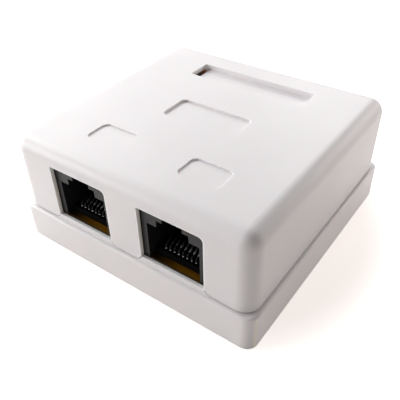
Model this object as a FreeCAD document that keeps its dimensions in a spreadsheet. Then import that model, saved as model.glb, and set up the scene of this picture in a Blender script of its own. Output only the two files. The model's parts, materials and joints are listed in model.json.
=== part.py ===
"""Two-port surface mount jack box: base, lift-off cover, board, jacks, contacts and terminals.

Millimetres. X runs along the port face, Y from the port face to the back, Z up.
The origin is the middle of the underside of the base.
"""
import FreeCAD
import Part
import Sketcher
import math
import os

V = FreeCAD.Vector
doc = FreeCAD.newDocument("jack_box")

# ---------------------------------------------------------------- driving sizes
SIZES = {
    # base and cover, outside
    "base_width": 60.0,
    "base_depth": 59.2,
    "base_corner": 2.5,
    "base_edge": 0.5,
    "overall_height": 26.0,
    "cover_inset": 0.85,
    "cover_corner": 3.3,
    "cover_edge": 3.2,
    "seam_gap": 0.15,
    # walls
    "floor_thick": 2.0,
    "base_wall": 1.8,
    "cover_wall": 1.5,
    "cover_top": 1.8,
    "cover_inner_corner": 1.8,
    # ports in the cover's front wall, and the base's sills below them
    "port_share": 0.465,
    "port_shift": 0.3,
    "port_width": 14.7,
    "port_drop": 4.2,
    "port_right_corner": 1.05,
    "port_left_corner": 0.25,
    "port_foot_corner": 1.8,
    "port_edge": 0.15,
    "port_wall": 0.8,
    "sill_rise": 1.25,
    "sill_thick": 0.8,
    "sill_gap": 0.12,
    "sill_edge": 0.25,
    # recesses in the cover's top
    "icon_width": 9.3,
    "icon_depth": 6.2,
    "icon_front": 7.95,
    "icon_sink": 0.35,
    "badge_width": 18.0,
    "badge_depth": 8.1,
    "badge_middle": -0.95,
    "badge_sink": 0.55,
    "recess_shift": 0.5,
    "recess_corner": 1.4,
    "label_width": 29.8,
    "label_depth": 6.5,
    "label_middle": 17.6,
    "label_sink": 1.35,
    "label_corner": 0.5,
    "label_slot": 1.05,
    "label_slot_reach": 1.5,
    "label_skin": 1.15,
    "tray_wall": 1.1,
    # tabs and snap arms inside the base
    "tab_gap": 0.2,
    "tab_thick": 1.2,
    "tab_length": 7.0,
    "tab_rise": 3.0,
    "tab_pitch": 34.0,
    "arm_width": 7.0,
    "arm_rise": 8.3,
    "arm_hook": 0.5,
    "arm_nose": 0.9,
    "arm_gap": 0.3,
    # board and its posts
    "board_side": 3.15,
    "board_thick": 1.6,
    "board_corner": 1.0,
    "board_front_gap": 0.9,
    "board_edge_gap": 0.3,
    "post_radius": 2.6,
    "rest_radius": 1.6,
    "screw_side": 2.7,
    "screw_room": 0.6,
    "screw_front": 5.35,
    "screw_radius": 0.95,
    "screw_length": 6.0,
    "screw_head_radius": 2.2,
    "screw_head_height": 1.5,
    "screw_slot": 0.6,
    "screw_gap": 0.05,
    "screw_board_gap": 0.2,
    # wall fixings, cable entry and tie anchor
    "fix_pitch": 34.0,
    "fix_back": 9.0,
    "fix_radius": 2.1,
    "fix_boss_radius": 4.4,
    "fix_boss_height": 1.0,
    "entry_width": 12.0,
    "anchor_width": 5.0,
    "anchor_depth": 6.0,
    "anchor_height": 3.4,
    "anchor_eye_width": 3.2,
    "anchor_eye_height": 1.8,
    # jack housing
    "jack_gap": 0.15,
    "jack_side_gap": 0.3,
    "jack_headroom": 1.0,
    "jack_width": 15.6,
    "jack_depth": 16.0,
    "jack_height": 13.4,
    "plug_width": 11.9,
    "plug_height": 8.5,
    "plug_depth": 13.2,
    "latch_width": 7.3,
    "latch_height": 10.0,
    "latch_depth": 9.0,
    "notch_width": 4.5,
    "notch_height": 11.6,
    "notch_depth": 7.0,
    "peg_radius": 1.5,
    "peg_length": 2.2,
    "peg_gap": 0.1,
    "peg_pitch": 11.4,
    "peg_back": 9.0,
    # contact carrier and contacts
    "carrier_gap": 0.1,
    "carrier_front": 1.45,
    "carrier_bar": 0.45,
    "carrier_plate": 1.3,
    "carrier_edge": 0.2,
    "comb_front": 9.2,
    "comb_height": 7.7,
    "comb_slant": 1.3,
    "contact_pitch": 1.02,
    "contact_radius": 0.18,
    "contact_gap": 0.08,
    "contact_run": 1.05,
    "contact_bend": 0.85,
    "contact_slope": 27.0,
    "contact_reach": 8.6,
    "contact_tail": 2.5,
    "tail_front": 9.6,
    "tail_back": 11.8,
    "tail_bend": 0.5,
    # terminal blocks and clips
    "block_length": 14.6,
    "block_depth": 8.0,
    "block_height": 10.0,
    "block_chamfer": 1.3,
    "block_front_row": 5.2,
    "block_back_row": 17.3,
    "way_pitch": 3.4,
    "way_slot": 1.0,
    "way_slot_depth": 6.4,
    "clip_width": 2.3,
    "clip_thick": 0.4,
    "clip_height": 9.0,
    "clip_gap": 0.1,
    "clip_fork": 0.28,
    "clip_mouth": 0.9,
    "clip_chamfer": 0.35,
    "clip_root": 4.6,
    "clip_tail": 0.5,
    "clip_tail_length": 2.5,
}
WAYS = 4          # positions in a terminal block
CONTACTS = 8      # contacts in a jack
PAST = 1.0        # how far a cut runs on past a face
TOL = 1e-6        # two places closer than this are the same

sheet = doc.addObject("Spreadsheet::Sheet", "Sizes")
for row, (alias, number) in enumerate(SIZES.items(), start=1):
    sheet.set("A%d" % row, alias)
    sheet.set("B%d" % row, str(number))
    sheet.setAlias("B%d" % row, alias)
doc.recompute()


class Tied:
    """A length with its present value and the expression that ties it to the sheet."""

    def __init__(self, value, text):
        self.value = value
        self.text = text

    def __add__(self, other):
        other = tied(other)
        return Tied(self.value + other.value, "(%s + %s)" % (self.text, other.text))

    def __sub__(self, other):
        other = tied(other)
        return Tied(self.value - other.value, "(%s - %s)" % (self.text, other.text))

    def __mul__(self, other):
        other = tied(other)
        return Tied(self.value * other.value, "(%s * %s)" % (self.text, other.text))

    def __truediv__(self, other):
        other = tied(other)
        return Tied(self.value / other.value, "(%s / %s)" % (self.text, other.text))

    def __neg__(self):
        return self * -1

    __radd__ = __add__
    __rmul__ = __mul__


def tied(number):
    """A plain number as a tied one; a tied one is returned as it is."""
    return number if isinstance(number, Tied) else Tied(float(number), "(%r)" % float(number))


class Sheet:
    """The sheet's sizes as tied lengths: s.base_width and so on."""

    def __getattr__(self, alias):
        return Tied(float(sheet.get(alias)), "Sizes." + alias)


s = Sheet()

# ---------------------------------------------------------------- shared places
front = s.cover_inset - s.base_depth / 2                    # the cover's front face
cover_inner_x = s.base_width / 2 - s.cover_inset - s.cover_wall
cover_inner_y = s.base_depth / 2 - s.cover_inset - s.cover_wall
cover_inner_top = s.overall_height - s.cover_top
board_top = cover_inner_top - s.jack_headroom - s.jack_height  # the jacks hang the board from the cover's top
board_base = board_top - s.board_thick
base_height = board_base                                    # the board lies level with the base's rim
cover_foot = base_height + s.seam_gap
port_top = s.overall_height - s.port_drop
sill_top = base_height + s.sill_rise
tab_top = base_height + s.tab_rise
arm_top = base_height + s.arm_rise
tab_face_x = cover_inner_x - s.tab_gap
tab_face_y = cover_inner_y - s.tab_gap
jack_face = front + s.port_wall + s.jack_gap
jack_back = jack_face + s.jack_depth
board_front = front + s.board_front_gap
board_half = cover_inner_x - s.board_side
fix_y = s.base_depth / 2 - s.fix_back
label_floor = s.overall_height - s.label_sink
port_pitch = 2 * board_half * s.port_share
port_x = [s.port_shift + side * port_pitch / 2 for side in (-1, 1)]
contact_x = [(k - (CONTACTS - 1) / 2) * s.contact_pitch for k in range(CONTACTS)]
contact_tails = [(s.tail_front, s.tail_back)[k % 2] for k in range(CONTACTS)]
way_x = [(k - (WAYS - 1) / 2) * s.way_pitch for k in range(WAYS)]
block_y = [jack_back + row for row in (s.block_front_row, s.block_back_row)]
screw_x = [s.port_shift + side * (board_half - s.screw_side) for side in (-1, 1)]
rear_screw_y = block_y[1] + s.block_depth / 2 + s.screw_room + s.screw_head_radius
board_back = rear_screw_y + s.screw_side
screws = [(x, rear_screw_y) for x in screw_x] + [(s.port_shift, board_front + s.screw_front)]


# ---------------------------------------------------------------- modelling helpers
def new_body(name):
    body = doc.addObject("PartDesign::Body", name)
    body.Label = name
    return body


def origin_feature(body, role):
    return [feature for feature in body.Origin.OriginFeatures if feature.Role == role][0]


def sketch_on(body, role, offset=0.0):
    """A sketch on one of the body's own planes, moved out along the plane's normal."""
    sketch = body.newObject("Sketcher::SketchObject", "Sketch")
    sketch.AttachmentSupport = [(origin_feature(body, role), "")]
    sketch.MapMode = "FlatFace"
    sketch.setExpression("AttachmentOffset.Base.z", tied(offset).text)
    return sketch


def constrain(sketch, measure, kind, *where, unit=""):
    """A dimension of a sketch, bound to the sheet."""
    value = math.radians(measure.value) if kind == "Angle" else measure.value
    index = sketch.addConstraint(Sketcher.Constraint(kind, *where, value))
    sketch.setExpression("Constraints[%d]" % index, measure.text + unit)


def pin_point(sketch, geometry, end, across, up):
    """Tie a sketch point to its two coordinates."""
    constrain(sketch, tied(across), "DistanceX", -1, 1, geometry, end)
    constrain(sketch, tied(up), "DistanceY", -1, 1, geometry, end)


def outline(sketch, points):
    """A closed outline through points."""
    spots = [V(tied(across).value, tied(up).value, 0) for across, up in points]
    first = sketch.GeometryCount
    count = len(points)
    for k in range(count):
        sketch.addGeometry(Part.LineSegment(spots[k], spots[(k + 1) % count]), False)
    for k in range(count):
        sketch.addConstraint(Sketcher.Constraint("Coincident", first + k, 2, first + (k + 1) % count, 1))
        pin_point(sketch, first + k, 1, *points[k])


def rectangle(sketch, low_across, high_across, low_up, high_up):
    """A rectangle between its low and high corners."""
    low = V(tied(low_across).value, tied(low_up).value, 0)
    high = V(tied(high_across).value, tied(high_up).value, 0)
    spots = [low, V(high.x, low.y, 0), high, V(low.x, high.y, 0)]
    first = sketch.GeometryCount
    for k in range(4):
        sketch.addGeometry(Part.LineSegment(spots[k], spots[(k + 1) % 4]), False)
    for k in range(4):
        sketch.addConstraint(Sketcher.Constraint("Coincident", first + k, 2, first + (k + 1) % 4, 1))
    for k in range(4):
        sketch.addConstraint(Sketcher.Constraint("Vertical" if k % 2 else "Horizontal", first + k))
    pin_point(sketch, first, 1, low_across, low_up)
    pin_point(sketch, first + 1, 2, high_across, high_up)


def centred(sketch, across, up, width, depth):
    """A rectangle about its middle."""
    across, up = tied(across), tied(up)
    rectangle(sketch, across - width / 2, across + width / 2, up - depth / 2, up + depth / 2)


def circle(sketch, across, up, radius):
    middle = V(tied(across).value, tied(up).value, 0)
    index = sketch.addGeometry(Part.Circle(middle, V(0, 0, 1), radius.value), False)
    pin_point(sketch, index, 3, across, up)
    constrain(sketch, radius, "Radius", index)


def extrude(body, kind, sketch, length, backwards=False):
    """A pad or pocket of a sketch; with no length it goes right through."""
    made = body.newObject("PartDesign::" + kind, kind)
    made.Profile = sketch
    made.Reversed = backwards
    if length is None:
        made.Type = 1
    else:
        made.setExpression("Length", length.text)
    doc.recompute()
    return made


def pad(body, sketch, length, backwards=False):
    return extrude(body, "Pad", sketch, length, backwards)


def pocket(body, sketch, length=None, backwards=False):
    return extrude(body, "Pocket", sketch, length, backwards)


def edges(body, test):
    """Names of the body's edges whose vertices all pass the test."""
    return ["Edge%d" % number for number, edge in enumerate(body.Shape.Edges, start=1)
            if all(test(vertex.Point) for vertex in edge.Vertexes)]


def uprights(body, test):
    """Names of the body's upright edges whose vertices all pass the test."""
    return [name for name in edges(body, test)
            if math.hypot(*(abs(body.Shape.getElement(name).tangentAt(
                body.Shape.getElement(name).FirstParameter)[k]) for k in (0, 1))) < TOL]


def same(one, other):
    return abs(one - other) < TOL


def anywhere(point):
    return True


def fillet(body, names, radius):
    base = body.Tip
    made = body.newObject("PartDesign::Fillet", "Fillet")
    made.Base = (base, names)
    made.setExpression("Radius", radius.text)
    doc.recompute()


def chamfer(body, names, width):
    base = body.Tip
    made = body.newObject("PartDesign::Chamfer", "Chamfer")
    made.Base = (base, names)
    made.setExpression("Size", width.text)
    doc.recompute()


def repeat(body, original, count, pitch):
    """A row of a feature along the body's X axis."""
    row_of = body.newObject("PartDesign::LinearPattern", "LinearPattern")
    row_of.Originals = [original]
    row_of.Direction = (origin_feature(body, "X_Axis"), [""])
    row_of.Occurrences = count
    row_of.setExpression("Length", (pitch * (count - 1)).text)
    body.Tip = row_of
    doc.recompute()


def place(thing, x=0.0, y=0.0, z=0.0):
    for axis, where in (("x", x), ("y", y), ("z", z)):
        thing.setExpression("Placement.Base." + axis, tied(where).text)


def copy_of(master, name):
    """The same piece again, as a link."""
    link = doc.addObject("App::Link", name)
    link.Label = name
    link.LinkedObject = master
    return link


# ---------------------------------------------------------------- base
def make_base():
    body = new_body("base")
    block = sketch_on(body, "XY_Plane")
    centred(block, 0, 0, s.base_width, s.base_depth)
    pad(body, block, base_height)
    fillet(body, uprights(body, anywhere), s.base_corner)
    fillet(body, edges(body, lambda p: same(p.z, base_height.value)), s.base_edge)

    hollow = sketch_on(body, "XY_Plane", base_height)
    centred(hollow, 0, 0, s.base_width - 2 * s.base_wall, s.base_depth - 2 * s.base_wall)
    pocket(body, hollow, base_height - s.floor_thick)
    inner = (s.base_width / 2 - s.base_wall).value
    fillet(body, uprights(body, lambda p: same(abs(p.x), inner)), s.base_corner - s.base_wall / 2)
    add_sills(body)
    add_tabs_and_arms(body)
    add_board_posts(body)
    add_wall_fixings(body)
    add_cable_entry(body)
    return body


def add_sills(body):
    """Sills that close the ports from below, flush with the cover's front."""
    half = s.port_width / 2 - s.sill_gap
    foot = half + s.port_foot_corner * 0.8
    sills = sketch_on(body, "XY_Plane", base_height)
    for x in port_x:
        rectangle(sills, x - foot, x + foot, front, front + s.sill_thick)
    pad(body, sills, s.sill_rise)
    ends = sketch_on(body, "XZ_Plane", -front)
    for x in port_x:
        for side in (-1, 1):
            circle(ends, x + side * (s.port_width / 2 + s.port_foot_corner), cover_foot + s.port_foot_corner,
                   s.port_foot_corner + s.sill_gap)
    pocket(body, ends, s.sill_thick)
    fillet(body, edges(body, lambda p: same(p.z, sill_top.value) and same(p.y, front.value)), s.sill_edge)


def add_tabs_and_arms(body):
    """Tabs that locate the cover's walls, and a snap arm on each side."""
    tabs = sketch_on(body, "XY_Plane", s.floor_thick)
    for side in (-1, 1):
        centred(tabs, side * s.tab_pitch / 2, tab_face_y - s.tab_thick / 2, s.tab_length, s.tab_thick)
        for end in (-1, 1):
            centred(tabs, side * (tab_face_x - s.tab_thick / 2), end * s.tab_pitch / 2,
                    s.tab_thick, s.tab_length)
    pad(body, tabs, tab_top - s.floor_thick)
    for side in (-1, 1):
        arm = sketch_on(body, "XZ_Plane", -s.arm_width / 2)
        outline(arm, [(side * across, up) for across, up in [
            (tab_face_x - s.tab_thick, s.floor_thick),
            (tab_face_x, s.floor_thick),
            (tab_face_x, arm_top - 2 * s.arm_nose - 2 * s.arm_hook),
            (tab_face_x + s.arm_hook, arm_top - 2 * s.arm_nose - s.arm_hook),
            (tab_face_x + s.arm_hook, arm_top - 2 * s.arm_nose),
            (tab_face_x - s.tab_thick / 3, arm_top),
            (tab_face_x - s.tab_thick, arm_top),
        ]])
        pad(body, arm, s.arm_width)


def add_board_posts(body):
    """Posts with pilot holes under the board's screws, and rests under its front corners."""
    posts = sketch_on(body, "XY_Plane", s.floor_thick)
    for x, y in screws:
        circle(posts, x, y, s.post_radius)
    for x in screw_x:
        circle(posts, x, board_front + s.screw_front, s.rest_radius)
    pad(body, posts, board_base - s.floor_thick)
    pilots = sketch_on(body, "XY_Plane", board_base)
    for x, y in screws:
        circle(pilots, x, y, s.screw_radius + s.screw_gap)
    pocket(body, pilots, s.screw_length - s.board_thick + s.screw_gap)


def add_wall_fixings(body):
    """Two screw holes through the floor, each in a raised ring."""
    rings = sketch_on(body, "XY_Plane", s.floor_thick)
    holes = sketch_on(body, "XY_Plane", s.floor_thick + s.fix_boss_height)
    for side in (-1, 1):
        circle(rings, side * s.fix_pitch / 2, fix_y, s.fix_boss_radius)
        circle(holes, side * s.fix_pitch / 2, fix_y, s.fix_radius)
    pad(body, rings, s.fix_boss_height)
    pocket(body, holes)


def add_cable_entry(body):
    """A notch in the back wall for the cable, and a staple on the floor for a cable tie."""
    entry = sketch_on(body, "XZ_Plane", -s.base_depth / 2)
    rectangle(entry, -s.entry_width / 2, s.entry_width / 2, s.floor_thick, base_height + PAST)
    pocket(body, entry, s.base_wall, backwards=True)
    staple = sketch_on(body, "XY_Plane", s.floor_thick)
    centred(staple, 0, fix_y, s.anchor_width, s.anchor_depth)
    pad(body, staple, s.anchor_height)
    eye = sketch_on(body, "YZ_Plane", s.anchor_width / 2)
    rectangle(eye, fix_y - s.anchor_eye_width / 2, fix_y + s.anchor_eye_width / 2,
              s.floor_thick, s.floor_thick + s.anchor_eye_height)
    pocket(body, eye, s.anchor_width)


# ---------------------------------------------------------------- cover
def make_cover():
    body = new_body("cover")
    block = sketch_on(body, "XY_Plane", cover_foot)
    centred(block, 0, 0, s.base_width - 2 * s.cover_inset, s.base_depth - 2 * s.cover_inset)
    pad(body, block, s.overall_height - cover_foot)
    fillet(body, uprights(body, anywhere), s.cover_corner)
    fillet(body, edges(body, lambda p: same(p.z, s.overall_height.value)), s.cover_edge)

    hollow = sketch_on(body, "XY_Plane", cover_foot)
    rectangle(hollow, -cover_inner_x, cover_inner_x, -cover_inner_y, cover_inner_y)
    pocket(body, hollow, cover_inner_top - cover_foot, backwards=True)
    fillet(body, uprights(body, lambda p: same(abs(p.x), cover_inner_x.value)), s.cover_inner_corner)
    fillet(body, edges(body, lambda p: same(p.z, cover_inner_top.value)), s.cover_inner_corner - s.tab_gap)

    tray = sketch_on(body, "XY_Plane", label_floor - s.tray_wall)
    centred(tray, 0, s.label_middle, s.label_width + 2 * s.tray_wall, s.label_depth + 2 * s.tray_wall)
    pad(body, tray, s.label_sink + s.tray_wall - s.label_skin)
    cut_ports(body)
    cut_arm_grooves(body)
    cut_top_recesses(body)
    return body


def cut_ports(body):
    """Reliefs that take the jacks' faces and the board's front edge, and the two ports, open at the foot."""
    relief = sketch_on(body, "XZ_Plane", -front - s.port_wall)
    ports = sketch_on(body, "XZ_Plane", -front)
    for x in port_x:
        half = s.jack_width / 2 + s.jack_side_gap
        rectangle(relief, x - half, x + half, cover_foot - PAST, board_top + s.jack_height + s.jack_side_gap)
        rectangle(ports, x - s.port_width / 2, x + s.port_width / 2, cover_foot - PAST, port_top)
    pocket(body, relief, s.cover_wall - s.port_wall + s.cover_inner_corner)
    shelf = sketch_on(body, "XZ_Plane", -front - s.port_wall)
    half = board_half + s.board_edge_gap
    rectangle(shelf, s.port_shift - half, s.port_shift + half, cover_foot - PAST, board_top + s.board_edge_gap)
    pocket(body, shelf, s.cover_wall - s.port_wall)
    pocket(body, ports, s.cover_wall)

    def corners(sides, height):
        """The ports' corner edges, which run through the wall."""
        inside = front.value + s.cover_wall.value
        names = []
        for x in port_x:
            for side in sides:
                spot = (x + side * s.port_width / 2).value
                names += edges(body, lambda p: same(p.x, spot) and same(p.z, height) and p.y < inside)
        return names

    fillet(body, corners([1], port_top.value), s.port_right_corner)
    fillet(body, corners([-1], port_top.value), s.port_left_corner)
    fillet(body, corners([-1, 1], cover_foot.value), s.port_foot_corner)
    fillet(body, edges(body, lambda p: same(p.y, front.value) and same(p.z, port_top.value)), s.port_edge)


def cut_arm_grooves(body):
    """Grooves for the snap arms' hooks, open at the foot."""
    grooves = sketch_on(body, "XY_Plane", cover_foot)
    for side in (-1, 1):
        centred(grooves, side * (cover_inner_x + s.arm_hook / 2), 0,
                s.arm_hook + 2 * s.tab_gap, s.arm_width + 2 * s.arm_gap)
    pocket(body, grooves, arm_top + s.arm_gap - cover_foot, backwards=True)


def cut_top_recesses(body):
    """Icon and badge recesses, and the label recess with its slot at the left end, which runs on under the top."""
    top = s.overall_height
    icons = sketch_on(body, "XY_Plane", top)
    for side in (-1, 1):
        centred(icons, s.recess_shift + side * port_pitch / 2, front + s.icon_front + s.icon_depth / 2,
                s.icon_width, s.icon_depth)
    pocket(body, icons, s.icon_sink)
    badge = sketch_on(body, "XY_Plane", top)
    centred(badge, s.recess_shift, s.badge_middle, s.badge_width, s.badge_depth)
    pocket(body, badge, s.badge_sink)
    highest_floor = max(s.icon_sink.value, s.badge_sink.value)
    fillet(body, uprights(body, lambda p: p.z > top.value - highest_floor - TOL), s.recess_corner)

    label = sketch_on(body, "XY_Plane", top)
    centred(label, 0, s.label_middle, s.label_width, s.label_depth)
    pocket(body, label, s.label_sink)
    end = s.label_width.value / 2
    fillet(body, uprights(body, lambda p: p.z > label_floor.value - TOL and same(abs(p.x), end)),
           s.label_corner)
    undercut = sketch_on(body, "XY_Plane", cover_inner_top - s.tray_wall)
    reach = s.label_depth / 2 - s.label_corner
    rectangle(undercut, -s.label_width / 2 - s.label_slot_reach, -s.label_width / 2 + s.label_slot,
              s.label_middle - reach, s.label_middle + reach)
    pocket(body, undercut, top - s.label_skin - cover_inner_top + s.tray_wall, backwards=True)


# ---------------------------------------------------------------- board
def make_board():
    body = new_body("circuit_board")
    plate = sketch_on(body, "XY_Plane", board_base)
    rectangle(plate, s.port_shift - board_half, s.port_shift + board_half,
              board_front, board_back)
    pad(body, plate, s.board_thick)
    fillet(body, uprights(body, anywhere), s.board_corner)
    holes = sketch_on(body, "XY_Plane", board_top)
    for x, y in screws:
        circle(holes, x, y, s.screw_radius + s.screw_board_gap)
    for x in port_x:
        for side in (-1, 1):
            circle(holes, x + side * s.peg_pitch / 2, jack_face + s.peg_back, s.peg_radius + s.peg_gap)
        for across, tail in zip(contact_x, contact_tails):
            circle(holes, x + across, jack_face + tail, s.contact_radius + s.contact_gap)
        for y in block_y:
            for across in way_x:
                circle(holes, x + across, y, s.clip_tail / 2 + 2 * s.clip_gap)
    pocket(body, holes)
    return body


# ---------------------------------------------------------------- jack, about the foot of its face
def make_housing(name):
    """The jack's housing, with the plug's stepped mouth; the board closes its floor."""
    body = new_body(name)
    block = sketch_on(body, "XY_Plane")
    rectangle(block, -s.jack_width / 2, s.jack_width / 2, 0, s.jack_depth)
    pad(body, block, s.jack_height)
    for width, height, depth in ((s.plug_width, s.plug_height, s.plug_depth),
                                 (s.latch_width, s.latch_height, s.latch_depth),
                                 (s.notch_width, s.notch_height, s.notch_depth)):
        mouth = sketch_on(body, "XZ_Plane")
        rectangle(mouth, -width / 2, width / 2, -PAST, height)
        pocket(body, mouth, depth)
    pegs = sketch_on(body, "XY_Plane")
    for side in (-1, 1):
        circle(pegs, side * s.peg_pitch / 2, s.peg_back, s.peg_radius)
    pad(body, pegs, s.peg_length, backwards=True)
    return body


def make_carrier(name):
    """The slotted plate and rear comb that hold the eight contacts apart."""
    body = new_body(name)
    back = s.plug_depth - s.carrier_gap
    side_view = sketch_on(body, "YZ_Plane", s.carrier_gap - s.plug_width / 2)
    outline(side_view, [
        (s.carrier_front, 0),
        (back, 0),
        (back, s.comb_height),
        (s.comb_front + s.comb_slant, s.comb_height),
        (s.comb_front, s.comb_height - 2 * s.comb_slant),
        (s.comb_front, s.carrier_plate),
        (s.carrier_front + s.carrier_edge, s.carrier_plate),
        (s.carrier_front, s.carrier_plate - s.carrier_edge),
    ])
    pad(body, side_view, s.plug_width - 2 * s.carrier_gap)
    slot = sketch_on(body, "XY_Plane", s.comb_height + PAST)
    centred(slot, contact_x[0], (s.carrier_front + back) / 2,
            2 * (s.contact_radius + s.contact_gap), back - s.carrier_front - 2 * s.carrier_bar)
    cut = pocket(body, slot)
    repeat(body, cut, CONTACTS, s.contact_pitch)
    return body


def make_contact(name, tail):
    """A bent spring wire: tail, run along the board, front bend, and the spring that slopes up and back."""
    body = new_body(name)
    bend, run = s.contact_bend, s.contact_run
    nose_y = s.carrier_front + s.carrier_bar + s.contact_gap + s.contact_radius + bend
    slope = math.radians(s.contact_slope.value)
    nose = V(nose_y.value, (run + bend).value, 0)
    leave = nose + V(-math.sin(slope), math.cos(slope), 0) * bend.value
    tip = leave + V(math.cos(slope), math.sin(slope), 0) * s.contact_reach.value
    corner = V((tail - s.tail_bend).value, (run - s.tail_bend).value, 0)
    path = sketch_on(body, "YZ_Plane")
    path.addGeometry([
        Part.LineSegment(V(tail.value, -s.contact_tail.value, 0), V(tail.value, corner.y, 0)),
        Part.ArcOfCircle(Part.Circle(corner, V(0, 0, 1), s.tail_bend.value), 0, math.pi / 2),
        Part.LineSegment(V(corner.x, run.value, 0), V(nose.x, run.value, 0)),
        Part.ArcOfCircle(Part.Circle(nose, V(0, 0, 1), bend.value), math.pi / 2 + slope, 3 * math.pi / 2),
        Part.LineSegment(leave, tip),
    ], False)
    for joint in ((0, 2, 1, 1), (1, 2, 2, 1), (2, 2, 3, 2), (3, 1, 4, 1)):
        path.addConstraint(Sketcher.Constraint("Tangent", *joint))
    path.addConstraint(Sketcher.Constraint("Vertical", 0))
    path.addConstraint(Sketcher.Constraint("Horizontal", 2))
    pin_point(path, 0, 1, tail, -s.contact_tail)
    pin_point(path, 3, 3, nose_y, run + bend)
    constrain(path, s.tail_bend, "Radius", 1)
    constrain(path, bend, "Radius", 3)
    constrain(path, s.contact_reach, "Distance", 4)
    constrain(path, s.contact_slope, "Angle", 4, unit=" * 1 deg")
    section = sketch_on(body, "XY_Plane", -s.contact_tail)
    circle(section, 0, tail, s.contact_radius)
    wire = body.newObject("PartDesign::AdditivePipe", "AdditivePipe")
    wire.Profile = section
    wire.Spine = path
    doc.recompute()
    return body


# ---------------------------------------------------------------- terminals, about the middle of a block's foot
def make_block(name):
    """A terminal block: towers between the wire slots, with a chamber for each clip."""
    body = new_body(name)
    block = sketch_on(body, "XY_Plane")
    centred(block, 0, 0, s.block_length, s.block_depth)
    pad(body, block, s.block_height)
    chamfer(body, edges(body, lambda p: same(p.z, s.block_height.value) and p.y > 0)
            + edges(body, lambda p: same(p.z, s.block_height.value) and p.y < 0), s.block_chamfer)
    way = sketch_on(body, "XZ_Plane", s.block_depth / 2)
    rectangle(way, way_x[0] - s.way_slot / 2, way_x[0] + s.way_slot / 2,
              s.block_height - s.way_slot_depth, s.block_height + PAST)
    cut = pocket(body, way, s.block_depth)
    repeat(body, cut, WAYS, s.way_pitch)
    chamber = sketch_on(body, "XY_Plane", s.block_height)
    centred(chamber, way_x[0], 0, s.clip_width + 2 * s.clip_gap, s.clip_thick + 2 * s.clip_gap)
    cut = pocket(body, chamber)
    repeat(body, cut, WAYS, s.way_pitch)
    return body


def make_clip(name):
    """A forked terminal that cuts through a wire's insulation, with its tail in the board."""
    body = new_body(name)
    half = [
        (s.clip_tail / 2, -s.clip_tail_length),
        (s.clip_tail / 2, tied(0)),
        (s.clip_width / 2, tied(0)),
        (s.clip_width / 2, s.clip_height - s.clip_chamfer),
        (s.clip_width / 2 - s.clip_chamfer, s.clip_height),
        (s.clip_mouth / 2, s.clip_height),
        (s.clip_fork / 2, s.clip_height - s.clip_mouth),
        (s.clip_fork / 2, s.clip_root),
    ]
    profile = sketch_on(body, "XZ_Plane", -s.clip_thick / 2)
    outline(profile, half + [(-across, up) for across, up in reversed(half)])
    pad(body, profile, s.clip_thick)
    return body


def make_screw(name):
    """A pan-head board screw, about the underside of its head."""
    body = new_body(name)
    head = sketch_on(body, "XY_Plane")
    circle(head, 0, 0, s.screw_head_radius)
    pad(body, head, s.screw_head_height)
    fillet(body, edges(body, lambda p: same(p.z, s.screw_head_height.value)), s.screw_head_height / 2)
    for width, depth in ((s.screw_head_radius, s.screw_slot), (s.screw_slot, s.screw_head_radius)):
        cross = sketch_on(body, "XY_Plane", s.screw_head_height)
        centred(cross, 0, 0, width, depth)
        pocket(body, cross, s.screw_head_height / 2)
    shank = sketch_on(body, "XY_Plane")
    circle(shank, 0, 0, s.screw_radius)
    pad(body, shank, s.screw_length, backwards=True)
    return body


# ---------------------------------------------------------------- assembly
nodes = [make_base(), make_cover(), make_board()]
masters = {}


def add_node(make, name, x, y, z, *details):
    """A piece in its place: the first of its kind is modelled, and the rest are links to it."""
    kind = (make.__name__,) + tuple(detail.text for detail in details)
    if kind in masters:
        node = copy_of(masters[kind], name)
    else:
        node = masters[kind] = make(name, *details)
    place(node, x, y, z)
    nodes.append(node)


for port, x in enumerate(port_x, start=1):
    add_node(make_housing, "jack_housing_%d" % port, x, jack_face, board_top)
    add_node(make_carrier, "contact_carrier_%d" % port, x, jack_face, board_top)
    for k in range(CONTACTS):
        add_node(make_contact, "port_%d_contact_%d" % (port, k + 1),
                 x + contact_x[k], jack_face, board_top, contact_tails[k])
    for row_name, y in zip("ab", block_y):
        add_node(make_block, "terminal_block_%d%s" % (port, row_name), x, y, board_top)
        for k in range(WAYS):
            add_node(make_clip, "terminal_clip_%d%s_%d" % (port, row_name, k + 1),
                     x + way_x[k], y, board_top)
for number, (x, y) in enumerate(screws, start=1):
    add_node(make_screw, "board_screw_%d" % number, x, y, board_top)
doc.recompute()

# ---------------------------------------------------------------- checks and files
for thing in doc.Objects:
    if "Invalid" in thing.State or "Error" in thing.State:
        raise RuntimeError("%s (%s) did not build: %s" % (thing.Name, thing.TypeId, thing.State))
    base = getattr(thing, "BaseFeature", None)
    if base is None:
        continue
    if thing.TypeId == "PartDesign::Pad" and thing.Shape.Volume <= base.Shape.Volume:
        raise RuntimeError("%s adds nothing" % thing.Name)
    if thing.TypeId == "PartDesign::Pocket" and thing.Shape.Volume >= base.Shape.Volume:
        raise RuntimeError("%s cuts nothing" % thing.Name)

shapes = {node.Label: Part.getShape(node) for node in nodes}
for name, shape in shapes.items():
    if shape.isNull() or not shape.isValid() or len(shape.Solids) != 1:
        raise RuntimeError("%s is not one valid solid" % name)

os.makedirs("parts", exist_ok=True)
for name, shape in shapes.items():
    shape.exportStep("parts/%s.step" % name)
    print("%-22s %9.2f mm3" % (name, shape.Volume))
print("%d nodes" % len(nodes))
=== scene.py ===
"""Looks of the surface mount jack box: materials, floor, light and camera round the CAD frame.

Lengths are in metres and angles in degrees. The frame's nodes are only given materials.
"""
import json
import math

import bpy
from mathutils import Matrix, Vector


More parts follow.
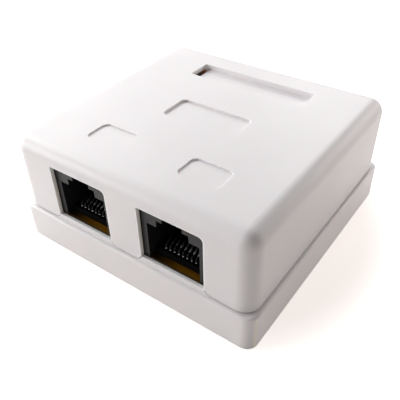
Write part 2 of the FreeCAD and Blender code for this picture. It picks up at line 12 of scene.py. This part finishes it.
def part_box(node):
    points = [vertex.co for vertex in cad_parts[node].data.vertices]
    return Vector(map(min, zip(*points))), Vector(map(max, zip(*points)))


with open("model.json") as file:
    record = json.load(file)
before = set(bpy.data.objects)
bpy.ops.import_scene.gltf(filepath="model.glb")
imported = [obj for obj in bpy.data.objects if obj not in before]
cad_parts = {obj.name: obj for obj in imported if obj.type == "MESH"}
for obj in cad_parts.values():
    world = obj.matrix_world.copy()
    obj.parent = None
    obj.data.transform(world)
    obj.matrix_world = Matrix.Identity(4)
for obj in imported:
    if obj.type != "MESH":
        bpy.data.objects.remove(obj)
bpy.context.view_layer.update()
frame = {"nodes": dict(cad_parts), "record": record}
MM = 0.001
WHITE = (1.0, 1.0, 1.0)

# The camera stands at the front right and above, and looks at a point inside the box. It is rolled about its
# line of sight and slid along its own right and up.
CAMERA_AIM = Vector((0.0, 0.0, 14.0)) * MM
CAMERA_AZIMUTH = 36.49
CAMERA_ELEVATION = 38.57
CAMERA_ROLL = -1.405
CAMERA_DISTANCE = 117.86 * MM
CAMERA_SLIDE = (-1.789 * MM, -8.852 * MM)
CAMERA_LENS = 46.66
CAMERA_CLIP = (5 * MM, 10.0)

FLOOR_SIZE = 3.0
FLOOR_COLOUR = (0.78, 0.74, 0.71)
# The floor's glow under the box, dim and warm there as painted shade, and how far from the middle it
# starts to turn white and has turned.
FLOOR_GLOW = (0.64, 0.60, 0.575)
FLOOR_FADE = (0.036, 0.050)
WORLD_LIGHT = 0.05
LAMP_AIM = (0.0, 0.0, 0.01)
WARM_LIGHT = (1.0, 0.93, 0.89)
# name: (place, side of the square, watts, colour)
LAMPS = {
    "lamp_left": ((-0.45, -0.10, 0.35), 0.25, 0.98, WHITE),
    "lamp_front_low": ((-0.40, -0.35, 0.12), 0.25, 1.36, WHITE),
    "lamp_front_right": ((0.30, -0.30, 0.10), 0.25, 0.20, WARM_LIGHT),
    "lamp_top": ((-0.30, 0.10, 0.50), 0.25, 0.50, WHITE),
    "lamp_back_left": ((-0.35, 0.40, 0.40), 0.25, 0.36, WHITE),
    "lamp_near_left": ((-0.12, -0.04, 0.10), 0.08, 0.056, WHITE),
    "lamp_near_top": ((-0.14, 0.05, 0.13), 0.08, 0.060, WHITE),
    "lamp_near_back": ((-0.02, 0.15, 0.12), 0.08, 0.068, WHITE),
    "lamp_near_right": ((0.10, 0.16, 0.08), 0.08, 0.088, WARM_LIGHT),
    "lamp_near_right_low": ((0.14, 0.14, 0.05), 0.08, 0.04, WARM_LIGHT),
}

WHITE_ABS = (0.83, 0.803, 0.812)
ABS_SCATTER = (1.0, 0.85, 0.75)
BLACK_PLASTIC = (0.006, 0.006, 0.0068)
BOARD_BROWN = (0.14, 0.062, 0.0015)
CONTACT_GREY = (0.85, 0.84, 0.82)
TERMINAL_WHITE = (0.72, 0.72, 0.68)
CLIP_GREY = (0.72, 0.72, 0.70)
SCREW_GREY = (0.62, 0.62, 0.61)

# The ports' outline. PORT_DROP is from the cover's top down to theirs, and SILL_RISE from its foot up.
PORT_WIDTH = 14.7 * MM
PORT_DROP = 4.2 * MM
PORT_CORNER = 1.05 * MM
SILL_RISE = 1.1 * MM
# Painted light and shade that belong to a place on the white plastic. Those of the ports reach FRONT_DEPTH
# behind the cover's front: a painted white highlight on a rim, which sets in over RIM_START outside the
# outline and fades over RIM_END, painted white light on the sill's top, by height from there, and cream
# painted light on the left jamb. The cream painted light also catches a strip of the base's front right
# corner. Brown painted shade fills a box round the slot at the label recess's left end.
FRONT_DEPTH = 1.3 * MM
RIM_START = (0.01 * MM, 0.04 * MM)
RIM_END = (0.25 * MM, 0.31 * MM)
SILL_LIGHT_SPAN = (-0.3 * MM, 0.5 * MM)
JAMB_PAINTED_LIGHT = (1.0, 0.94, 0.84)
SLOT_PAINTED_SHADE = (0.80, 0.40, 0.20)
SLOT_LOW = (-17.0 * MM, 14.2 * MM, 22.0 * MM)
SLOT_HIGH = (-13.7 * MM, 21.0 * MM, 24.65 * MM)
# How squarely a surface faces an axis where its painted light starts, and where it is full.
FACING = (0.8, 0.95)

# The board gets painted shade at the left of each port. It clears up over these shares of the ports' pitch,
# counted from the jack's left side, and over this depth towards the back.
BOARD_SHADE_CLEARS_ACROSS = (0.15, 0.42)
BOARD_SHADE_CLEARS_BACK = (-20 * MM, -12 * MM)

# Painted sheen and shade on the contacts: how bright a contact is, by height above the board in mm.
# From CONTACT_UPPER up it is also darker towards the left of its row, where it is down to CONTACT_LEFTMOST.
CONTACT_SHEEN = ((0.0, 1.0), (0.5, 1.0), (0.8, 0.0), (1.6, 0.0), (1.66, 0.9), (1.85, 0.9), (1.92, 0.0),
                 (2.83, 0.0), (2.93, 0.9), (3.2, 0.4), (3.8, 0.05), (7.0, 0.04))
CONTACT_UPPER = (2.2 * MM, 2.4 * MM)
CONTACT_LEFTMOST = 0.15

cover_low, cover_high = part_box("cover")
port_top = cover_high.z - PORT_DROP
sill_top = cover_low.z + SILL_RISE
front, behind = cover_low.y, cover_low.y + FRONT_DEPTH
port_middles = [sum(corner.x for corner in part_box(name)) / 2 for name in ("jack_housing_1", "jack_housing_2")]
port_pitch = port_middles[1] - port_middles[0]


# ---------------------------------------------------------------- materials

class Shader:
    """A new material with a Principled shader, and short ways to feed its sockets."""

    def __init__(self, name, metallic=0.0, gloss=0.5):
        self.material = bpy.data.materials.new(name)
        self.material.use_nodes = True
        self.tree = self.material.node_tree
        self.surface = self.tree.nodes["Principled BSDF"]
        self.surface.inputs["Metallic"].default_value = metallic
        self.surface.inputs["Specular IOR Level"].default_value = gloss
        self.place = self.node("ShaderNodeTexCoord").outputs["Object"]

    def node(self, kind, **settings):
        made = self.tree.nodes.new(kind)
        for name, value in settings.items():
            setattr(made, name, value)
        return made

    def link(self, source, target):
        self.tree.links.new(source, target)

    def feed(self, value, socket):
        """Links a socket to value if that is a socket too, and otherwise sets it to the number or colour."""
        if isinstance(value, bpy.types.NodeSocket):
            self.link(value, socket)
        elif isinstance(value, tuple):
            socket.default_value = (*value, 1.0)
        else:
            socket.default_value = value

    def noise(self, size, stretch=(1.0, 1.0, 1.0), detail=3.0):
        """Noise whose lumps are about size across, and stretch times as long along each axis."""
        scaled = self.node("ShaderNodeMapping")
        scaled.inputs["Scale"].default_value = [1.0 / factor for factor in stretch]
        self.link(self.place, scaled.inputs["Vector"])
        made = self.node("ShaderNodeTexNoise")
        made.inputs["Scale"].default_value = 1.0 / size
        made.inputs["Detail"].default_value = detail
        self.link(scaled.outputs["Vector"], made.inputs["Vector"])
        return made.outputs["Fac"]

    def spread(self, value, start=0.3, stop=0.7, low=0.0, high=1.0):
        """value, from start to stop, spread over low to high."""
        made = self.node("ShaderNodeMapRange")
        for socket, number in zip(("From Min", "From Max", "To Min", "To Max"), (start, stop, low, high)):
            made.inputs[socket].default_value = number
        self.link(value, made.inputs["Value"])
        return made.outputs["Result"]

    def maths(self, operation, first, second=0.0):
        made = self.node("ShaderNodeMath", operation=operation)
        self.feed(first, made.inputs[0])
        self.feed(second, made.inputs[1])
        return made.outputs["Value"]

    def both(self, first, second):
        return self.maths("MULTIPLY", first, second)

    def part(self, vector, axis):
        made = self.node("ShaderNodeSeparateXYZ")
        self.link(vector, made.inputs["Vector"])
        return made.outputs[axis]

    def at(self, axis):
        """The place along an axis."""
        return self.part(self.place, axis)

    def facing(self, axis):
        """How squarely the surface faces along an axis, from -1 to 1."""
        return self.part(self.node("ShaderNodeNewGeometry").outputs["Normal"], axis)

    def inside(self, low, high, soft=0.1 * MM):
        """1 inside the box from low to high and 0 outside it; None leaves that side open."""
        total = 1.0
        for axis, first, last in zip("XYZ", low, high):
            for face, side in ((first, 1), (last, -1)):
                if face is not None:
                    total = self.both(total, self.spread(self.at(axis), face, face + side * soft))
        return total

    def mix(self, value, first, second):
        """A colour that runs from first to second with value."""
        made = self.node("ShaderNodeMix", data_type="RGBA")
        for name, source in (("Factor", value), ("A", first), ("B", second)):
            self.feed(source, made.inputs[name])
        return made.outputs["Result"]

    def mottle(self, noise, colour, dark, light):
        """colour, between dark and light times as bright by the noise."""
        return self.mix(self.spread(noise), shade(colour, dark), shade(colour, light))

    def paint(self, colour):
        self.link(colour, self.surface.inputs["Base Color"])

    def rough(self, noise, low, high):
        self.link(self.spread(noise, low=low, high=high), self.surface.inputs["Roughness"])

    def bump(self, noise, depth, strength):
        made = self.node("ShaderNodeBump")
        made.inputs["Distance"].default_value = depth
        made.inputs["Strength"].default_value = strength
        self.link(noise, made.inputs["Height"])
        self.link(made.outputs["Normal"], self.surface.inputs["Normal"])


def shade(colour, factor):
    return tuple(min(channel * factor, 1.0) for channel in colour)


def painted_port_highlight(made):
    """1 on a thin rim just outside the ports' rounded outline, above the sills, where a white highlight is
    painted.
    """
    from_middle = made.maths("ABSOLUTE", made.maths("SUBTRACT", made.at("X"), sum(port_middles) / 2))
    aside = made.maths("ABSOLUTE", made.maths("SUBTRACT", from_middle, port_pitch / 2))
    wide = made.maths("SUBTRACT", aside, PORT_WIDTH / 2 - PORT_CORNER)
    high = made.maths("SUBTRACT", made.at("Z"), port_top - PORT_CORNER)
    squares = [made.maths("POWER", made.maths("MAXIMUM", past, 0.0), 2.0) for past in (wide, high)]
    outside = made.maths("SUBTRACT", made.maths("SQRT", made.maths("ADD", *squares)), PORT_CORNER)
    rim = made.both(made.spread(outside, *RIM_START), made.spread(outside, *RIM_END, low=1.0, high=0.0))
    return made.both(rim, made.inside((None, None, sill_top - 0.1 * MM), (None, behind, None)))


def white_abs():
    """Moulded white ABS with a fine spark-eroded skin, and painted light and shade at the ports and the label
    slot.
    """
    made = Shader("white_abs")
    made.surface.inputs["Subsurface Weight"].default_value = 0.35
    made.surface.inputs["Subsurface Radius"].default_value = ABS_SCATTER
    made.surface.inputs["Subsurface Scale"].default_value = 1.0 * MM
    skin = made.mottle(made.noise(14 * MM), WHITE_ABS, 0.985, 1.015)
    # Painted light: cream on the faces that face right within the front wall, the ports' left jambs.
    rightward = made.spread(made.facing("X"), *FACING)
    in_wall = made.inside((None, front, None), (None, behind, None), 0.3 * MM)
    skin = made.mix(made.both(rightward, in_wall), skin, JAMB_PAINTED_LIGHT)
    # Painted light: white on the sill's upward faces, which lie in shade.
    upward = made.spread(made.facing("Z"), *FACING)
    sill_low, sill_high = (sill_top + height for height in SILL_LIGHT_SPAN)
    at_sill = made.inside((None, None, sill_low), (None, behind, sill_high))
    skin = made.mix(made.both(upward, at_sill), skin, WHITE)
    # Painted shade: brown in a box round the slot at the label recess's left end.
    skin = made.mix(made.inside(SLOT_LOW, SLOT_HIGH), skin, SLOT_PAINTED_SHADE)
    # Painted highlight: a thin white line round the ports' outline.
    made.paint(made.mix(painted_port_highlight(made), skin, WHITE))
    grain = made.noise(0.16 * MM)
    made.rough(grain, 0.36, 0.46)
    made.bump(grain, 0.004 * MM, 0.5)
    return made.material


def black_plastic():
    """Glass-filled black thermoplastic of the jacks."""
    made = Shader("black_plastic", gloss=0.28)
    grain = made.noise(0.12 * MM)
    made.paint(made.mottle(grain, BLACK_PLASTIC, 0.8, 1.3))
    made.rough(grain, 0.34, 0.5)
    made.bump(grain, 0.004 * MM, 0.6)
    return made.material


def carrier_plastic():
    """Dull black plastic of the contact carriers."""
    made = Shader("carrier_plastic", gloss=0.02)
    grain = made.noise(0.1 * MM)
    made.paint(made.mottle(grain, BLACK_PLASTIC, 0.2, 0.5))
    made.rough(grain, 0.6, 0.8)
    made.bump(grain, 0.003 * MM, 0.6)
    return made.material


def share_across(made, left):
    """0 at left, nearly 1 a port's pitch to its right, and from 0 again there."""
    return made.maths("FRACT", made.maths("DIVIDE", made.maths("SUBTRACT", made.at("X"), left), port_pitch))


def board_laminate():
    """Amber phenolic laminate with pressed paper fibres, and painted shade on its side faces and at each port's
    left.
    """
    made = Shader("board_laminate", gloss=0.15)
    fibre = made.noise(0.5 * MM, stretch=(6.0, 1.0, 1.0), detail=5.0)
    # Painted shade at the left of each port, clearing up to the right and towards the back.
    across = made.spread(share_across(made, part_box("jack_housing_1")[0].x), *BOARD_SHADE_CLEARS_ACROSS)
    out_of_shade = made.maths("MAXIMUM", across, made.spread(made.at("Y"), *BOARD_SHADE_CLEARS_BACK))
    face = made.mix(out_of_shade, shade(BOARD_BROWN, 0.1), made.mottle(fibre, BOARD_BROWN, 0.75, 1.25))
    # Painted shade: the board's side faces are made dark.
    made.paint(made.mix(made.maths("ABSOLUTE", made.facing("Z")), shade(BOARD_BROWN, 0.12), face))
    made.rough(fibre, 0.28, 0.45)
    made.bump(fibre, 0.01 * MM, 0.4)
    return made.material


def plated_metal(name, colour, roughness, brush=(1.0, 1.0, 1.0)):
    """Bright plated metal, faintly brushed along the axis that brush stretches."""
    made = Shader(name, metallic=1.0)
    streak = made.noise(0.08 * MM, stretch=brush)
    made.paint(made.mottle(streak, colour, 0.88, 1.08))
    made.rough(streak, roughness * 0.8, roughness * 1.3)
    made.bump(streak, 0.002 * MM, 0.4)
    return made.material


def contact_painted_sheen(made):
    """Painted sheen and shade on the contacts by height above the board, above CONTACT_UPPER also by row place.
    """
    board_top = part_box("circuit_board")[1].z
    reach = CONTACT_SHEEN[-1][0]
    sheen = made.node("ShaderNodeValToRGB")
    stops = sheen.color_ramp.elements
    for height, bright in CONTACT_SHEEN[1:-1]:
        stops.new(height / reach)
    for stop, (height, bright) in zip(stops, CONTACT_SHEEN):
        stop.color = (bright, bright, bright, 1.0)
    made.link(made.spread(made.at("Z"), board_top, board_top + reach * MM), sheen.inputs["Fac"])
    left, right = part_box("port_1_contact_1")[0].x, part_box("port_1_contact_8")[1].x
    rightward = made.spread(share_across(made, left), 0.0, (right - left) / port_pitch, CONTACT_LEFTMOST, 1.0)
    upper = made.spread(made.at("Z"), *(board_top + height for height in CONTACT_UPPER))
    across = made.maths("ADD", made.both(upper, made.maths("SUBTRACT", rightward, 1.0)), 1.0)
    return made.both(sheen.outputs["Color"], across)


def contact_metal():
    """Plated spring wire. Its painted sheen isn't metallic, so it looks bright from every side."""
    made = Shader("contact_metal")
    streak = made.noise(0.08 * MM, stretch=(1.0, 8.0, 1.0))
    bright = contact_painted_sheen(made)
    # Painted highlights where the sheen is high, and painted shade, nearly black, where it is low.
    made.paint(made.mix(bright, shade(CONTACT_GREY, 0.01), made.mottle(streak, CONTACT_GREY, 0.88, 1.08)))
    made.link(made.maths("SUBTRACT", 1.0, bright), made.surface.inputs["Metallic"])
    made.rough(streak, 0.12, 0.2)
    return made.material


def terminal_plastic():
    """Off-white plastic of the terminal blocks."""
    made = Shader("terminal_plastic")
    grain = made.noise(0.15 * MM)
    made.paint(made.mottle(grain, TERMINAL_WHITE, 0.95, 1.03))
    made.rough(grain, 0.34, 0.48)
    made.bump(grain, 0.004 * MM, 0.5)
    return made.material


def dress_nodes():
    """Gives every CAD node the material of its slot in the record."""
    made = {
        "white_abs": white_abs(),
        "black_plastic": black_plastic(),
        "carrier_plastic": carrier_plastic(),
        "board_laminate": board_laminate(),
        "contact_metal": contact_metal(),
        "terminal_plastic": terminal_plastic(),
        "terminal_metal": plated_metal("terminal_metal", CLIP_GREY, 0.3, brush=(1.0, 1.0, 6.0)),
        "screw_steel": plated_metal("screw_steel", SCREW_GREY, 0.32),
    }
    for subpart in frame["record"]["subparts"]:
        for slot in frame["nodes"][subpart["node"]].material_slots:
            slot.material = made[subpart["material_slot"]]


# ---------------------------------------------------------------- stage

def camera_view():
    """The camera, rolled and slid a little off its aim."""
    azimuth, elevation, roll = (math.radians(v) for v in (CAMERA_AZIMUTH, CAMERA_ELEVATION, CAMERA_ROLL))
    back = Vector((math.sin(azimuth) * math.cos(elevation),
                   -math.cos(azimuth) * math.cos(elevation), math.sin(elevation)))
    level = (-back).cross(Vector((0, 0, 1))).normalized()
    upright = level.cross(-back)
    right = level * math.cos(roll) + upright * math.sin(roll)
    up = upright * math.cos(roll) - level * math.sin(roll)
    data = bpy.data.cameras.new("camera")
    data.lens = CAMERA_LENS
    data.clip_start, data.clip_end = CAMERA_CLIP
    camera = bpy.data.objects.new("camera", data)
    bpy.context.scene.collection.objects.link(camera)
    place = CAMERA_AIM + back * CAMERA_DISTANCE + right * CAMERA_SLIDE[0] + up * CAMERA_SLIDE[1]
    turned = Matrix((right, up, back)).transposed().to_4x4()
    camera.matrix_world = Matrix.Translation(place) @ turned
    bpy.context.scene.camera = camera


def seen_directly(tree):
    """1 for camera, glossy and transmission rays, which should see a white background, else 0."""
    path = tree.nodes.new("ShaderNodeLightPath")
    total = path.outputs["Is Camera Ray"]
    for ray in ("Is Glossy Ray", "Is Transmission Ray"):
        either = tree.nodes.new("ShaderNodeMath")
        either.operation = "MAXIMUM"
        tree.links.new(total, either.inputs[0])
        tree.links.new(path.outputs[ray], either.inputs[1])
        total = either.outputs["Value"]
    return total


def white_floor():
    """A pale floor that keeps the shadow. To the camera it also glows, white but for a dim, warm middle of
    painted shade.
    """
    bpy.ops.mesh.primitive_plane_add(size=FLOOR_SIZE)
    floor = bpy.context.object
    floor.name = "floor"
    made = Shader("floor", gloss=0.1)
    made.surface.inputs["Base Color"].default_value = (*FLOOR_COLOUR, 1.0)
    made.surface.inputs["Roughness"].default_value = 0.9
    reach = made.node("ShaderNodeVectorMath", operation="LENGTH")
    made.link(made.place, reach.inputs[0])
    fade = made.node("ShaderNodeMapRange", interpolation_type="SMOOTHSTEP")
    fade.inputs["From Min"].default_value, fade.inputs["From Max"].default_value = FLOOR_FADE
    made.link(reach.outputs["Value"], fade.inputs["Value"])
    # Painted shade: the glow is dimmer and warm round the box.
    made.link(made.mix(fade.outputs["Result"], FLOOR_GLOW, WHITE), made.surface.inputs["Emission Color"])
    made.link(seen_directly(made.tree), made.surface.inputs["Emission Strength"])
    floor.data.materials.append(made.material)


def white_world():
    """Even light from all round, and white where the camera or a reflection sees it."""
    world = bpy.data.worlds.new("studio")
    bpy.context.scene.world = world
    world.use_nodes = True
    tree = world.node_tree
    background = tree.nodes["Background"]
    background.inputs["Color"].default_value = (*WHITE, 1.0)
    strength = tree.nodes.new("ShaderNodeMapRange")
    strength.inputs["To Min"].default_value = WORLD_LIGHT
    strength.inputs["To Max"].default_value = 1.0
    tree.links.new(seen_directly(tree), strength.inputs["Value"])
    tree.links.new(strength.outputs["Result"], background.inputs["Strength"])


def lamp(name, place, side, watts, colour):
    """A square soft box that faces the object."""
    data = bpy.data.lights.new(name, "AREA")
    data.shape = "SQUARE"
    data.size = side
    data.color = colour
    data.energy = watts
    made = bpy.data.objects.new(name, data)
    bpy.context.scene.collection.objects.link(made)
    made.location = place
    made.rotation_mode = "QUATERNION"
    made.rotation_quaternion = (Vector(LAMP_AIM) - Vector(place)).to_track_quat("-Z", "Y")


def studio():
    white_floor()
    white_world()
    for name, settings in LAMPS.items():
        lamp(name, *settings)
    camera_view()
    bpy.context.scene.view_settings.view_transform = "Standard"


dress_nodes()
studio()
